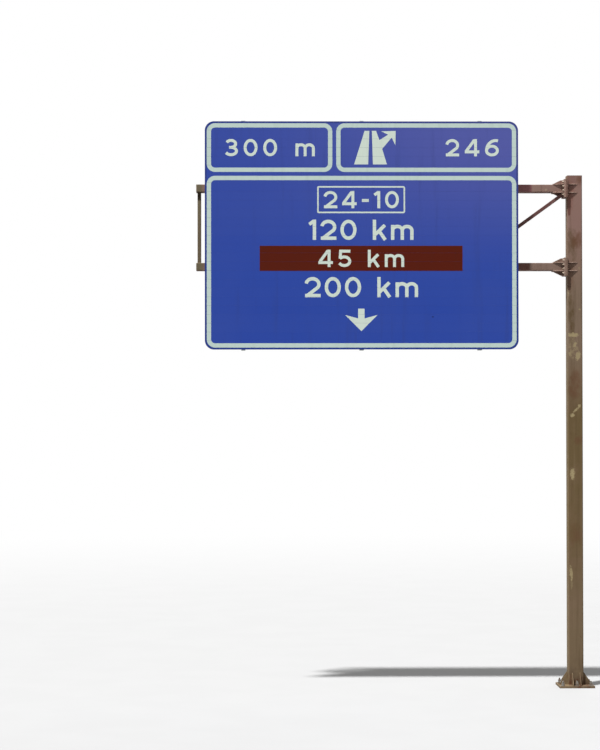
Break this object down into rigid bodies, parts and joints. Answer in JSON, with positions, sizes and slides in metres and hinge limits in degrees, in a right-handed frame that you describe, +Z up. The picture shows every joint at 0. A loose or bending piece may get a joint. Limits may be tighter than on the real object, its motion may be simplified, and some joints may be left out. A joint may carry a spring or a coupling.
{
  "type": "cantilever overhead sign gantry",
  "caption": "Square steel column with a bolted two-chord lattice arm that carries a slatted aluminium road sign board on upright I sections.",
  "frame": {"origin": "centre of the underside of the base plate, on the axis of the column", "axes": "+Z up along the column, -X along the arm towards its tip, -Y the way the sign faces"},
  "size_m": [7.95, 0.8, 11.32],
  "materials": {
    "column_paint": "weathered matt paint with rust stains",
    "arm_paint": "weathered matt paint",
    "galvanised_section": "dull galvanised",
    "sign_slat": "blue retroreflective sheeting on the face, bare extrusion behind"
  },
  "bodies": {
    "root": {"base_plate": "column_paint", "base_gussets": "column_paint", "column": "column_paint", "column_cap": "column_paint", "upper_column_flange": "column_paint", "lower_column_flange": "column_paint", "upper_column_stiffeners": "column_paint", "lower_column_stiffeners": "column_paint", "upper_arm_flange": "arm_paint", "lower_arm_flange": "arm_paint", "upper_arm_gussets": "arm_paint", "lower_arm_gussets": "arm_paint", "upper_chord": "arm_paint", "lower_chord": "arm_paint", "chord_end_caps": "arm_paint", "front_verticals": "arm_paint", "rear_verticals": "arm_paint", "end_posts": "arm_paint", "front_diagonals": "arm_paint", "rear_diagonals": "arm_paint", "upper_brackets": "galvanised_section", "lower_brackets": "galvanised_section", "right_support": "galvanised_section", "middle_support": "galvanised_section", "left_support": "galvanised_section", "top_panel_slats": "sign_slat", "upper_slats": "sign_slat", "middle_slats": "sign_slat", "lower_slats": "sign_slat"}
  },
  "joints": []
}
